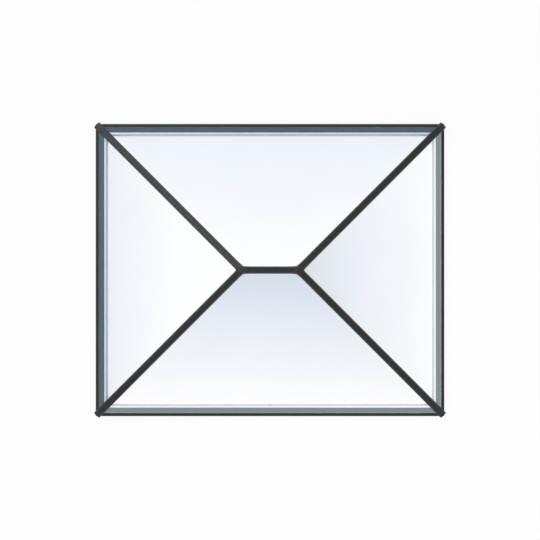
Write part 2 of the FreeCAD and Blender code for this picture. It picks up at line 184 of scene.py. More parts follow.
class LanternSizes(bpy.types.PropertyGroup):
    """Sizes that place the added pieces on the lantern."""

    pitch: FloatProperty(
        name="Pitch", description="Slope of every pane", default=math.radians(25), subtype="ANGLE")
    glass_inset: FloatProperty(
        name="Glass inset", description="From the drip edge to the edge of the outer panes",
        default=0.022, subtype="DISTANCE", unit="LENGTH")
    glass_edge_height: FloatProperty(
        name="Glass edge height", description="Top of the outer panes at the eaves",
        default=0.062, subtype="DISTANCE", unit="LENGTH")
    glass_unit: FloatProperty(
        name="Glass unit", description="Thickness of a double-glazed unit",
        default=0.024, subtype="DISTANCE", unit="LENGTH")
    cap_half_width: FloatProperty(
        name="Cap half width", description="From the middle of a cap to its edge",
        default=0.025, subtype="DISTANCE", unit="LENGTH")
    flange_half_width: FloatProperty(
        name="Flange half width", description="From the middle of a rafter to the edge of its flange",
        default=0.024, subtype="DISTANCE", unit="LENGTH")
    opening_inset: FloatProperty(
        name="Opening inset", description="From the drip edge to the inner face of the eaves beam",
        default=0.0865, subtype="DISTANCE", unit="LENGTH")
    cap_lip_radius: FloatProperty(
        name="Cap lip radius", description="Rubber lip under the edges of the caps",
        default=0.0016, subtype="DISTANCE", unit="LENGTH")
    bed_lip_radius: FloatProperty(
        name="Bed lip radius", description="Rubber lip under the edges of the inner panes",
        default=0.0021, subtype="DISTANCE", unit="LENGTH")
    tip_screw_radius: FloatProperty(
        name="Tip screw radius", description="Heads of the screws in the corner end caps",
        default=0.0032, subtype="DISTANCE", unit="LENGTH")
    cleat_screw_radius: FloatProperty(
        name="Cleat screw radius", description="Heads of the screws in the corner cleats",
        default=0.004, subtype="DISTANCE", unit="LENGTH")
    hub_bolt_radius: FloatProperty(
        name="Hub bolt radius", description="Head of the bolt under each ridge hub",
        default=0.0075, subtype="DISTANCE", unit="LENGTH")


class LanternColours(bpy.types.PropertyGroup):
    """Colours of the finishes."""

    dark_coat: FloatVectorProperty(
        name="Dark coat", description="Powder coat of the outside metal",
        default=(0.020, 0.023, 0.024), subtype="COLOR", min=0, max=1)
    cap_end: FloatVectorProperty(
        name="Cap end", description="Moulded hoods over the cap ends",
        default=(0.026, 0.025, 0.0235), subtype="COLOR", min=0, max=1)
    pale_coat: FloatVectorProperty(
        name="Pale coat", description="Powder coat of the inside metal",
        default=(0.89, 0.92, 0.95), subtype="COLOR", min=0, max=1)
    cast_metal: FloatVectorProperty(
        name="Cast metal", description="Corner cleats",
        default=(0.56, 0.57, 0.58), subtype="COLOR", min=0, max=1)
    pane_tint: FloatVectorProperty(
        name="Pane tint", description="What one pane lets through",
        default=(0.940, 0.973, 0.987), subtype="COLOR", min=0, max=1)
    pane_edge: FloatVectorProperty(
        name="Pane edge", description="Cut edges of the panes",
        default=(0.16, 0.30, 0.30), subtype="COLOR", min=0, max=1)
    spacer: FloatVectorProperty(
        name="Spacer", description="Bars between the panes",
        default=(0.55, 0.58, 0.61), subtype="COLOR", min=0, max=1)
    seal: FloatVectorProperty(
        name="Seal", description="Sealant round the spacer bars",
        default=(0.85, 0.91, 0.95), subtype="COLOR", min=0, max=1)
    rubber: FloatVectorProperty(
        name="Rubber", description="Gaskets outside", default=(0.018, 0.018, 0.019),
        subtype="COLOR", min=0, max=1)
    pale_rubber: FloatVectorProperty(
        name="Pale rubber", description="Gaskets inside", default=(0.78, 0.79, 0.79),
        subtype="COLOR", min=0, max=1)
    floor: FloatVectorProperty(
        name="Floor", description="Studio floor", default=(0.86, 0.86, 0.86), subtype="COLOR", min=0, max=1)


def sizes():
    return bpy.context.scene.lantern_sizes


def colours():
    return bpy.context.scene.lantern_colours


# Lines of the roof

class Roof:
    """Ridge nodes, hip lines and slopes worked out from the drip edges and the pitch."""

    def __init__(self):
        low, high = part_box("drip_trim_front")
        self.half_length = max(abs(low[0]), abs(high[0]))
        self.half_width = max(abs(low[1]), abs(high[1]))
        self.half_ridge = self.half_length - self.half_width
        self.pitch = sizes().pitch
        run = self.half_width - sizes().glass_inset
        self.ridge_height = sizes().glass_edge_height + run * math.tan(self.pitch)
        self.hip_fall = math.atan(math.tan(self.pitch) / math.sqrt(2))
        self.hip_backing = math.asin(math.sin(self.pitch) / math.sqrt(2))

    def node(self, x_sign):
        return Vector((x_sign * self.half_ridge, 0, self.ridge_height))

    def hip_axes(self, x_sign, y_sign):
        """Plan direction, slope direction, upward and sideways axes of one hip."""
        plan = Vector((x_sign, y_sign, 0)).normalized()
        along = plan * math.cos(self.hip_fall) - UP * math.sin(self.hip_fall)
        up = plan * math.sin(self.hip_fall) + UP * math.cos(self.hip_fall)
        return plan, along, up, up.cross(along)

    def hip_point(self, x_sign, y_sign, run, side, offset, depth):
        """Point over a hip at a plan run from its node, to one side and depth under the glass."""
        plan, along, up, across = self.hip_axes(x_sign, y_sign)
        rise = -offset * math.tan(self.hip_backing) - depth / math.cos(self.hip_backing)
        reach = (run - rise * math.sin(self.hip_fall)) / math.cos(self.hip_fall)
        return self.node(x_sign) + along * reach + across * (side * offset) + up * rise

    def ridge_point(self, x, side, offset, depth):
        rise = -offset * math.tan(self.pitch) - depth / math.cos(self.pitch)
        return Vector((x, side * offset, self.ridge_height + rise))

    def eaves_height(self, inset, depth):
        run = inset - sizes().glass_inset
        return sizes().glass_edge_height + run * math.tan(self.pitch) - depth / math.cos(self.pitch)


# Node helpers

def node(tree, kind, inputs=None, **settings):
    """A node with its settings and its input values or links."""
    made = tree.nodes.new(kind)
    for key, value in settings.items():
        setattr(made, key, value)
    for key, value in (inputs or {}).items():
        socket = made.inputs[key]
        if isinstance(value, bpy.types.NodeSocket):
            tree.links.new(value, socket)
        else:
            socket.default_value = value
    return made


def new_material(name):
    material = bpy.data.materials.new(name)
    material.use_nodes = True
    material.node_tree.nodes.clear()
    return material, material.node_tree


def show(tree, shader):
    node(tree, "ShaderNodeOutputMaterial", {"Surface": shader})


def ramp(tree, value, low, high, start=0.0, end=1.0):
    """Value mapped from one range to another, clamped."""
    made = node(tree, "ShaderNodeMapRange", {
        "Value": value, "From Min": low, "From Max": high, "To Min": start, "To Max": end})
    return made.outputs["Result"]


def noise(tree, place, scale, detail=3.0, rough=0.55):
    made = node(tree, "ShaderNodeTexNoise", {
        "Vector": place, "Scale": scale, "Detail": detail, "Roughness": rough})
    return made.outputs["Fac"]


def object_place(tree):
    return node(tree, "ShaderNodeTexCoord").outputs["Object"]


def tone(tree, factor, first, second):
    made = node(tree, "ShaderNodeMix", data_type="RGBA")
    tree.links.new(factor, made.inputs["Factor"])
    colour_inputs = [s for s in made.inputs if s.type == "RGBA"]
    for socket, value in zip(colour_inputs, (first, second)):
        if isinstance(value, bpy.types.NodeSocket):
            tree.links.new(value, socket)
        else:
            socket.default_value = (*value, 1)
    return [s for s in made.outputs if s.type == "RGBA"][0]


def set_stops(blend, stops):
    """Stops of a colour ramp node; the first two take the places of the ramp's own."""
    elements = blend.color_ramp.elements
    for index, (position, colour) in enumerate(stops):
        stop = elements[index] if index < 2 else elements.new(position)
        stop.position = position
        stop.color = (*colour, 1)


def scaled(colour, factor):
    return tuple(min(1.0, c * factor) for c in colour)


def paler(colour, share):
    """Colour moved towards white by a share of the way."""
    return tuple(c + share * (1 - c) for c in colour)


# Finishes

def coated_metal(name, colour, grain, rough_low, rough_high, wear):
    """Powder coat: fine orange peel, slow drift of tone and slightly paler worn edges."""
    material, tree = new_material(name)
    place = object_place(tree)
    edge = node(tree, "ShaderNodeBevel", {"Radius": COAT_EDGE}, samples=EDGE_SAMPLES)
    flat = node(tree, "ShaderNodeNewGeometry").outputs["Normal"]
    turn = node(tree, "ShaderNodeVectorMath", {0: edge.outputs[0], 1: flat}, operation="DOT_PRODUCT")
    worn = ramp(tree, turn.outputs["Value"], 0.985, 0.80)
    drift = noise(tree, place, COAT_DRIFT, 4.0)
    speck = noise(tree, place, COAT_SPECK, 2.0)
    base = tone(tree, ramp(tree, drift, *NOISE_SPAN), scaled(colour, 0.90), scaled(colour, 1.10))
    base = tone(tree, ramp(tree, speck, 0.35, 0.75, 0.0, 0.22), base, scaled(colour, 1.45))
    dust = noise(tree, place, COAT_DUST, 3.0, 0.7)
    base = tone(tree, ramp(tree, dust, 0.42, 0.72, 0.0, 0.6), base, paler(colour, 0.02))
    patch = noise(tree, place, COAT_PATCH)
    rub = node(tree, "ShaderNodeMath", {0: worn, 1: ramp(tree, patch, 0.42, 0.62, 0.2, 1.0)},
               operation="MULTIPLY").outputs[0]
    base = tone(tree, ramp(tree, rub, 0.0, 1.0, 0.0, wear), base, paler(colour, 0.05))
    peel = node(tree, "ShaderNodeBump", {
        "Strength": grain, "Distance": COAT_PEEL_DEPTH, "Height": noise(tree, place, COAT_PEEL, 2.0),
        "Normal": edge.outputs[0]})
    shader = node(tree, "ShaderNodeBsdfPrincipled", {
        "Base Color": base, "Roughness": ramp(tree, patch, *NOISE_SPAN, rough_low, rough_high),
        "Specular IOR Level": 0.35, "Normal": peel.outputs["Normal"]})
    show(tree, shader.outputs[0])
    return material


def moulded_end(name, colour):
    """Moulded hood: leathery grain, a little rougher and warmer than the coat beside it."""
    material, tree = new_material(name)
    place = object_place(tree)
    edge = node(tree, "ShaderNodeBevel", {"Radius": HOOD_EDGE}, samples=EDGE_SAMPLES)
    grain = node(tree, "ShaderNodeTexVoronoi", {"Vector": place, "Scale": HOOD_GRAIN})
    drift = noise(tree, place, HOOD_DRIFT, 4.0)
    base = tone(tree, ramp(tree, drift, *NOISE_SPAN), scaled(colour, 0.88), scaled(colour, 1.16))
    dent = node(tree, "ShaderNodeBump", {
        "Strength": 0.16, "Distance": HOOD_GRAIN_DEPTH, "Height": grain.outputs["Distance"],
        "Normal": edge.outputs[0]})
    shader = node(tree, "ShaderNodeBsdfPrincipled", {
        "Base Color": base, "Roughness": ramp(tree, drift, *NOISE_SPAN, 0.46, 0.58),
        "Normal": dent.outputs["Normal"]})
    show(tree, shader.outputs[0])
    return material


def cast_metal(name, colour):
    """Sand-cast cleat: granular skin with a dull metal sheen."""
    material, tree = new_material(name)
    place = object_place(tree)
    sand = noise(tree, place, CAST_SAND, 4.0, 0.7)
    drift = noise(tree, place, CAST_DRIFT, 3.0)
    base = tone(tree, ramp(tree, drift, *NOISE_SPAN), scaled(colour, 0.82), scaled(colour, 1.1))
    skin = node(tree, "ShaderNodeBump", {"Strength": 0.35, "Distance": CAST_SKIN_DEPTH, "Height": sand})
    shader = node(tree, "ShaderNodeBsdfPrincipled", {
        "Base Color": base, "Metallic": 0.85, "Roughness": ramp(tree, sand, 0.25, 0.75, 0.42, 0.62),
        "Normal": skin.outputs["Normal"]})
    show(tree, shader.outputs[0])
    return material


def pane_glass(name, density):
    """Float glass, more or less mirrored on its faces, deep green on its cut edges."""
    material, tree = new_material(name)
    place = object_place(tree)
    facing = node(tree, "ShaderNodeNewGeometry")
    upright = node(tree, "ShaderNodeSeparateXYZ", {0: facing.outputs["True Normal"]}).outputs["Z"]
    steep = node(tree, "ShaderNodeMath", {0: upright}, operation="ABSOLUTE").outputs[0]
    cut = ramp(tree, steep, 0.72, 0.60)
    wash = ramp(tree, noise(tree, place, PANE_WASH, 4.0), 0.35, 0.75)
    tint = tone(tree, wash, colours().pane_tint, scaled(colours().pane_tint, 0.985))
    clear = node(tree, "ShaderNodeBsdfTransparent", {"Color": tint}).outputs[0]
    streak = noise(tree, place, PANE_STREAK, 3.0)
    wave = node(tree, "ShaderNodeBump", {"Strength": 0.012, "Distance": PANE_WAVE_DEPTH, "Height": streak})
    mirror = node(tree, "ShaderNodeBsdfGlossy", {
        "Color": (1, 1, 1, 1), "Roughness": ramp(tree, streak, 0.3, 0.8, 0.0, 0.035),
        "Normal": wave.outputs["Normal"]}).outputs[0]
    shine = node(tree, "ShaderNodeFresnel", {"IOR": density}).outputs[0]
    face = node(tree, "ShaderNodeMixShader", {0: shine, 1: clear, 2: mirror}).outputs[0]
    away = node(tree, "ShaderNodeBsdfTransparent", {"Color": (1, 1, 1, 1)}).outputs[0]
    face = node(tree, "ShaderNodeMixShader", {0: facing.outputs["Backfacing"], 1: face, 2: away}).outputs[0]
    path = node(tree, "ShaderNodeLightPath").outputs
    passing = node(tree, "ShaderNodeMath", {0: path["Is Shadow Ray"], 1: path["Is Diffuse Ray"]},
                   operation="MAXIMUM").outputs[0]
    face = node(tree, "ShaderNodeMixShader", {0: passing, 1: face, 2: away}).outputs[0]
    edge = colours().pane_edge
    green = tone(tree, ramp(tree, streak, *NOISE_SPAN), scaled(edge, 0.8), scaled(edge, 1.25))
    rim = node(tree, "ShaderNodeBsdfPrincipled", {
        "Base Color": green, "Roughness": ramp(tree, streak, *NOISE_SPAN, 0.12, 0.3)}).outputs[0]
    whole = node(tree, "ShaderNodeMixShader", {0: cut, 1: face, 2: rim}).outputs[0]
    show(tree, whole)
    return material


def spacer_bar(name, colour):
    """Satin spacer with fine breathing holes in its faces, the holes drawn darker as painted shade, and a dark
    joint in the front bar.
    """
    material, tree = new_material(name)
    place = object_place(tree)
    dots = node(tree, "ShaderNodeTexVoronoi", {
        "Vector": place, "Scale": SPACER_HOLES, "Randomness": 0.15})
    hole_and_shade = ramp(tree, dots.outputs["Distance"], 0.16, 0.28)
    streak = noise(tree, place, SPACER_STREAK, 3.0)
    base = tone(tree, ramp(tree, streak, *NOISE_SPAN), scaled(colour, 0.92), scaled(colour, 1.08))
    # Painted shade: the breathing holes are darkened to stand in for the shade inside them; the same mask also
    # dents them.
    base = tone(tree, hole_and_shade, scaled(colour, 0.76), base)
    aside = node(tree, "ShaderNodeSeparateXYZ", {0: place}).outputs
    middle = node(tree, "ShaderNodeMath", {0: aside["X"]}, operation="ABSOLUTE").outputs[0]
    joint = node(tree, "ShaderNodeMath", {
        0: ramp(tree, middle, *SPACER_JOINT), 1: ramp(tree, aside["Y"], *SPACER_FRONT)},
        operation="MULTIPLY").outputs[0]
    base = tone(tree, joint, base, scaled(colour, 0.5))
    shader = node(tree, "ShaderNodeBsdfPrincipled", {
        "Base Color": base, "Metallic": 0.6, "Roughness": ramp(tree, streak, *NOISE_SPAN, 0.28, 0.4),
        "Normal": node(tree, "ShaderNodeBump", {
            "Strength": 0.18, "Distance": SPACER_HOLE_DEPTH, "Height": hole_and_shade}).outputs["Normal"]})
    show(tree, shader.outputs[0])
    return material


def soft_rubber(name, colour, rough, scale):
    """Rubber or sealant: matt, finely pitted, with a bloom of paler dust."""
    material, tree = new_material(name)
    place = object_place(tree)
    pits = noise(tree, place, scale, 4.0, 0.65)
    bloom = noise(tree, place, RUBBER_BLOOM, 3.0)
    base = tone(tree, ramp(tree, bloom, 0.35, 0.75), scaled(colour, 0.9), tuple(c + 0.02 for c in colour))
    shader = node(tree, "ShaderNodeBsdfPrincipled", {
        "Base Color": base, "Roughness": ramp(tree, pits, *NOISE_SPAN, rough, rough + 0.14),
        "Normal": node(tree, "ShaderNodeBump", {
            "Strength": 0.2, "Distance": RUBBER_PIT_DEPTH, "Height": pits}).outputs["Normal"]})
    show(tree, shader.outputs[0])
    return material


def screw_steel(name):
    """Stainless steel of the screw heads, dulled unevenly by grime."""
    material, tree = new_material(name)
    place = object_place(tree)
    grime = noise(tree, place, SCREW_GRIME, 4.0, 0.6)
    base = tone(tree, ramp(tree, grime, *NOISE_SPAN), (0.50, 0.50, 0.49), (0.66, 0.66, 0.65))
    shader = node(tree, "ShaderNodeBsdfPrincipled", {
        "Base Color": base, "Metallic": 1.0, "Roughness": ramp(tree, grime, *NOISE_SPAN, 0.26, 0.42)})
    show(tree, shader.outputs[0])
    return material


def dress(material, names):
    """Gives each named solid one finish."""
    for name in names:
        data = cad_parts[name].data
        data.materials.clear()
        data.materials.append(material)


def named(prefix, ends):
    return [prefix + "_" + end for end in ends]


# Geometry node trees

def geometry_tree(name, inputs):
    """Empty tree with a geometry in and out and the given named inputs."""
    tree = bpy.data.node_groups.new(name, "GeometryNodeTree")
    tree.interface.new_socket("Geometry", in_out="INPUT", socket_type="NodeSocketGeometry")
    for label, kind in inputs:
        tree.interface.new_socket(label, in_out="INPUT", socket_type=kind)
    tree.interface.new_socket("Geometry", in_out="OUTPUT", socket_type="NodeSocketGeometry")
    return tree, node(tree, "NodeGroupInput").outputs


def finish_tree(tree, geometry, material):
    whole = node(tree, "GeometryNodeRealizeInstances", {"Geometry": geometry})
    coated = node(tree, "GeometryNodeSetMaterial", {"Geometry": whole.outputs[0], "Material": material})
    node(tree, "NodeGroupOutput", {"Geometry": coated.outputs[0]})


def lip_tree():
    """Round lip swept along every line of the guide."""
    tree, given = geometry_tree("gasket_lip", [
        ("Radius", "NodeSocketFloat"), ("Sides", "NodeSocketInt"), ("Material", "NodeSocketMaterial")])
    path = node(tree, "GeometryNodeMeshToCurve", {"Mesh": given["Geometry"]})
    section = node(tree, "GeometryNodeCurvePrimitiveCircle", {
        "Resolution": given["Sides"], "Radius": given["Radius"]})
    swept = node(tree, "GeometryNodeCurveToMesh", {
        "Curve": path.outputs[0], "Profile Curve": section.outputs[0], "Fill Caps": True})
    smooth = node(tree, "GeometryNodeSetShadeSmooth", {"Geometry": swept.outputs[0], "Shade Smooth": True})
    finish_tree(tree, smooth.outputs[0], given["Material"])
    return tree


def screw_tree():
    """Socket screw head on every point of the guide, turned to the point's facing and sized by its head."""
    tree, given = geometry_tree("socket_screws", [
        ("Sides", "NodeSocketInt"), ("Crown", "NodeSocketFloat"), ("Socket", "NodeSocketFloat"),
        ("Material", "NodeSocketMaterial")])
    barrel = node(tree, "GeometryNodeMeshCylinder", {
        "Vertices": given["Sides"], "Radius": 1.0, "Depth": HEAD_BARREL})
    crown = node(tree, "GeometryNodeExtrudeMesh", {
        "Mesh": barrel.outputs["Mesh"], "Selection": barrel.outputs["Top"], "Offset Scale": given["Crown"],
        "Individual": False})
    drawn_in = node(tree, "GeometryNodeScaleElements", {
        "Geometry": crown.outputs["Mesh"], "Selection": crown.outputs["Top"], "Scale": HEAD_CROWN_DRAW})
    seated = node(tree, "GeometryNodeTransform", {
        "Geometry": drawn_in.outputs[0], "Translation": UP * HEAD_RISE})
    socket = node(tree, "GeometryNodeMeshCylinder", {
        "Vertices": 6, "Radius": given["Socket"], "Depth": SOCKET_DEPTH})
    socket_up = node(tree, "GeometryNodeTransform", {
        "Geometry": socket.outputs[0], "Translation": UP * SOCKET_RISE})
    head = node(tree, "GeometryNodeMeshBoolean", {"Mesh 1": seated.outputs[0]}, operation="DIFFERENCE",
                solver="EXACT")
    tree.links.new(socket_up.outputs[0], head.inputs["Mesh 2"])
    facing = node(tree, "GeometryNodeInputNamedAttribute", {"Name": "facing"}, data_type="FLOAT_VECTOR")
    size = node(tree, "GeometryNodeInputNamedAttribute", {"Name": "head"}, data_type="FLOAT")
    turn = node(tree, "FunctionNodeAlignRotationToVector", {"Vector": facing.outputs[0]}, axis="Z")
    placed = node(tree, "GeometryNodeInstanceOnPoints", {
        "Points": given["Geometry"], "Instance": head.outputs[0], "Rotation": turn.outputs[0],
        "Scale": size.outputs[0]})
    finish_tree(tree, placed.outputs[0], given["Material"])
    return tree


def grow(name, mesh, tree, values):
    """Plain mesh piece that a tree makes from a guide mesh."""
    guide = bpy.data.objects.new(name + "_guide", mesh)
    bpy.context.scene.collection.objects.link(guide)
    modifier = guide.modifiers.new(name, "NODES")
    modifier.node_group = tree
    for item in tree.interface.items_tree:
        if item.in_out == "INPUT" and item.name in values:
            modifier[item.identifier] = values[item.name]
    shape = guide.evaluated_get(bpy.context.evaluated_depsgraph_get())
    made = bpy.data.meshes.new_from_object(shape)
    guide.modifiers.remove(modifier)
    bpy.data.objects.remove(guide)
    if not made.polygons:
        raise RuntimeError(name + " came out empty")
    made.name = name
    made.materials.clear()
    made.materials.append(values["Material"])
    made.polygons.foreach_set("material_index", [0] * len(made.polygons))
    piece = bpy.data.objects.new(name, made)
    bpy.context.scene.collection.objects.link(piece)
    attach(piece, BODY)
    return piece


def line_guide(name, lines):
    """Mesh of loose lines, each a pair of points."""
    points = [point for line in lines for point in line]
    edges = [(index, index + 1) for index in range(0, len(points), 2)]
    mesh = bpy.data.meshes.new(name + "_guide")
    mesh.from_pydata(points, edges, [])
    return mesh


def point_guide(name, marks):
    """Mesh of loose points with the facing and head size of each screw."""
    mesh = bpy.data.meshes.new(name + "_guide")
    mesh.from_pydata([mark[0] for mark in marks], [], [])
    for label, kind in (("facing", "FLOAT_VECTOR"), ("head", "FLOAT")):
        mesh.attributes.new(label, kind, "POINT")
    for index, (_, direction, radius) in enumerate(marks):
        mesh.attributes["facing"].data[index].vector = direction
        mesh.attributes["head"].data[index].value = radius
    return mesh


# Operators

class LANTERN_OT_dark_metal(bpy.types.Operator):
    """Powder coat on the drip trims, outer beams and caps, moulded finish on the cap ends"""

    bl_idname = "lantern.dark_metal"
    bl_label = "Dark outside metal"

    def execute(self, context):
        coat = coated_metal("dark_powder_coat", tuple(colours().dark_coat), grain=0.10,
                            rough_low=0.36, rough_high=0.46, wear=0.3)
        dress(coat, named("eaves_outer", SIDES) + named("drip_trim", SIDES))
        dress(coat, named("hip_cap", CORNERS) + ["ridge_cap"])
        hood = moulded_end("moulded_cap_end", tuple(colours().cap_end))
        dress(hood, named("hip_end_cap", CORNERS) + named("ridge_end_cap", ENDS))
        return {"FINISHED"}


class LANTERN_OT_pale_metal(bpy.types.Operator):
    """Pale coat on the inner beams, rafters, ridge beam and hubs, cast skin on the cleats"""

    bl_idname = "lantern.pale_metal"
    bl_label = "Pale inside metal"

    def execute(self, context):
        coat = coated_metal("pale_powder_coat", tuple(colours().pale_coat), grain=0.08,
                            rough_low=0.38, rough_high=0.5, wear=0.12)
        dress(coat, named("eaves_inner", SIDES) + named("hip_rafter", CORNERS))
        dress(coat, named("ridge_hub", ENDS) + ["ridge_beam"])
        dress(cast_metal("cast_cleat", tuple(colours().cast_metal)), ["corner_cleats"])
        return {"FINISHED"}


class LANTERN_OT_glazing(bpy.types.Operator):
    """Glass in the panes, with the spacer bars and seals between them"""

    bl_idname = "lantern.glazing"
    bl_label = "Glazing"

    def execute(self, context):
        dress(pane_glass("coated_pane", COATED_PANE_IOR), named("glass_outer", SIDES))
        dress(pane_glass("clear_pane", CLEAR_PANE_IOR), named("glass_inner", SIDES))
        dress(spacer_bar("satin_spacer", tuple(colours().spacer)), ["spacer_bars"])
        sealant = soft_rubber("unit_sealant", tuple(colours().seal), rough=0.5, scale=300.0)
        dress(sealant, ["edge_seals"])
        return {"FINISHED"}


class LANTERN_OT_rubber(bpy.types.Operator):
    """Rubber on the gaskets, plastic on the thermal breaks, and the round lips that show beside them"""

    bl_idname = "lantern.rubber"
    bl_label = "Gaskets"

    def execute(self, context):
        black = soft_rubber("gasket_rubber", tuple(colours().rubber), rough=0.55, scale=500.0)
        pale = soft_rubber("pale_gasket_rubber", tuple(colours().pale_rubber), rough=0.5, scale=500.0)
        plastic = soft_rubber("break_plastic", scaled(colours().rubber, 1.6), rough=0.42, scale=240.0)
        dress(black, ["nose_gaskets", "cap_gaskets"])
        dress(pale, ["bed_gaskets"])
        dress(plastic, ["thermal_breaks"])
        tree = lip_tree()
        roof = Roof()
        self.cap_lips(tree, roof, black)
        self.bed_lips(tree, roof, pale)
        return {"FINISHED"}

    def cap_lips(self, tree, roof, black):
        """Lips between the caps and the outer panes."""
        given = sizes()
        radius = given.cap_lip_radius
        offset = given.cap_half_width - radius * BAR_LIP_TUCK
        corner_run = roof.half_width * math.sqrt(2)
        stop = corner_run - given.glass_inset * math.sqrt(2) - offset
        lines = []
        for signs in CORNER_SIGNS:
            for side in (-1, 1):
                lines.append([roof.hip_point(*signs, run, side, offset, -radius)
                              for run in (CAP_LIP_START, stop)])
        for side in (-1, 1):
            reach = roof.half_ridge - CAP_LIP_START
            lines.append([roof.ridge_point(x, side, offset, -radius) for x in (-reach, reach)])
        piece = grow("cap_gasket_lips", line_guide("cap_lips", lines), tree, {
            "Radius": radius, "Sides": LIP_SIDES, "Material": black})

    def bed_lips(self, tree, roof, pale):
        """Lips between the inner panes and the bars and beams they lie on."""
        given = sizes()
        radius = given.bed_lip_radius
        depth = given.glass_unit + radius
        offset = given.flange_half_width - radius * BAR_LIP_TUCK
        inset = given.opening_inset
        stop = (roof.half_width - inset) * math.sqrt(2) - given.flange_half_width
        lines = []
        for signs in CORNER_SIGNS:
            for side in (-1, 1):
                lines.append([roof.hip_point(*signs, run, side, offset, depth)
                              for run in (BED_LIP_START, stop)])
        for side in (-1, 1):
            reach = roof.half_ridge - BED_LIP_START
            lines.append([roof.ridge_point(x, side, offset, depth) for x in (-reach, reach)])
        height = roof.eaves_height(inset, depth)
        clear = inset + given.flange_half_width * math.sqrt(2)
        for sign in (-1, 1):
            far = roof.half_width - inset + radius * EAVES_LIP_TUCK
            reach = roof.half_length - clear
            lines.append([Vector((x, sign * far, height)) for x in (-reach, reach)])
            far = roof.half_length - inset + radius * EAVES_LIP_TUCK
            reach = roof.half_width - clear
            lines.append([Vector((sign * far, y, height)) for y in (-reach, reach)])
        piece = grow("bed_gasket_lips", line_guide("bed_lips", lines), tree, {
            "Radius": radius, "Sides": LIP_SIDES, "Material": pale})


class LANTERN_OT_screws(bpy.types.Operator):
    """Screw heads in the corner end caps, the cleats and under the hubs"""

    bl_idname = "lantern.screws"
    bl_label = "Screws"

    def execute(self, context):
        roof = Roof()
        marks = self.tip_marks(roof) + self.cleat_marks(roof) + self.hub_marks(roof)
        piece = grow("socket_screws", point_guide("socket_screws", marks), screw_tree(), {
            "Sides": SCREW_SIDES, "Crown": HEAD_CROWN, "Socket": SOCKET_RADIUS,
            "Material": screw_steel("stainless_screw")})
        return {"FINISHED"}

    def tip_marks(self, roof):
        """Two screws in the end plate of each corner end cap."""
        radius = sizes().tip_screw_radius
        marks = []
        run = roof.half_width * math.sqrt(2) - TIP_PLATE_INSET
        fall = run * math.tan(roof.hip_fall)
        for signs in CORNER_SIGNS:
            plan, _, _, across = roof.hip_axes(*signs)
            foot = roof.node(signs[0]) + plan * run + UP * (TIP_SCREW_RISE - fall)
            for side in (-1, 1):
                marks.append((foot + across * (side * TIP_SCREW_ASIDE), plan, radius))
        return marks

    def cleat_marks(self, roof):
        """One screw in each leg of the corner cleats, facing the room."""
        radius = sizes().cleat_screw_radius
        inset = sizes().opening_inset
        marks = []
        for x_sign, y_sign in CORNER_SIGNS:
            x = x_sign * (roof.half_length - inset)
            y = y_sign * (roof.half_width - inset)
            beside_x = x - x_sign * CLEAT_SCREW_ASIDE
            beside_y = y - y_sign * CLEAT_SCREW_ASIDE
            marks.append((Vector((beside_x, y, CLEAT_SCREW_HEIGHT)), Vector((0, -y_sign, 0)), radius))
            marks.append((Vector((x, beside_y, CLEAT_SCREW_HEIGHT)), Vector((-x_sign, 0, 0)), radius))
        return marks

    def hub_marks(self, roof):
        """The bolt under each hub."""
        marks = []
        for end, x_sign in zip(ENDS, (-1, 1)):
            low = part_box("ridge_hub_" + end)[0]
            marks.append((Vector((x_sign * roof.half_ridge, 0, low[2])), -UP, sizes().hub_bolt_radius))
        return marks


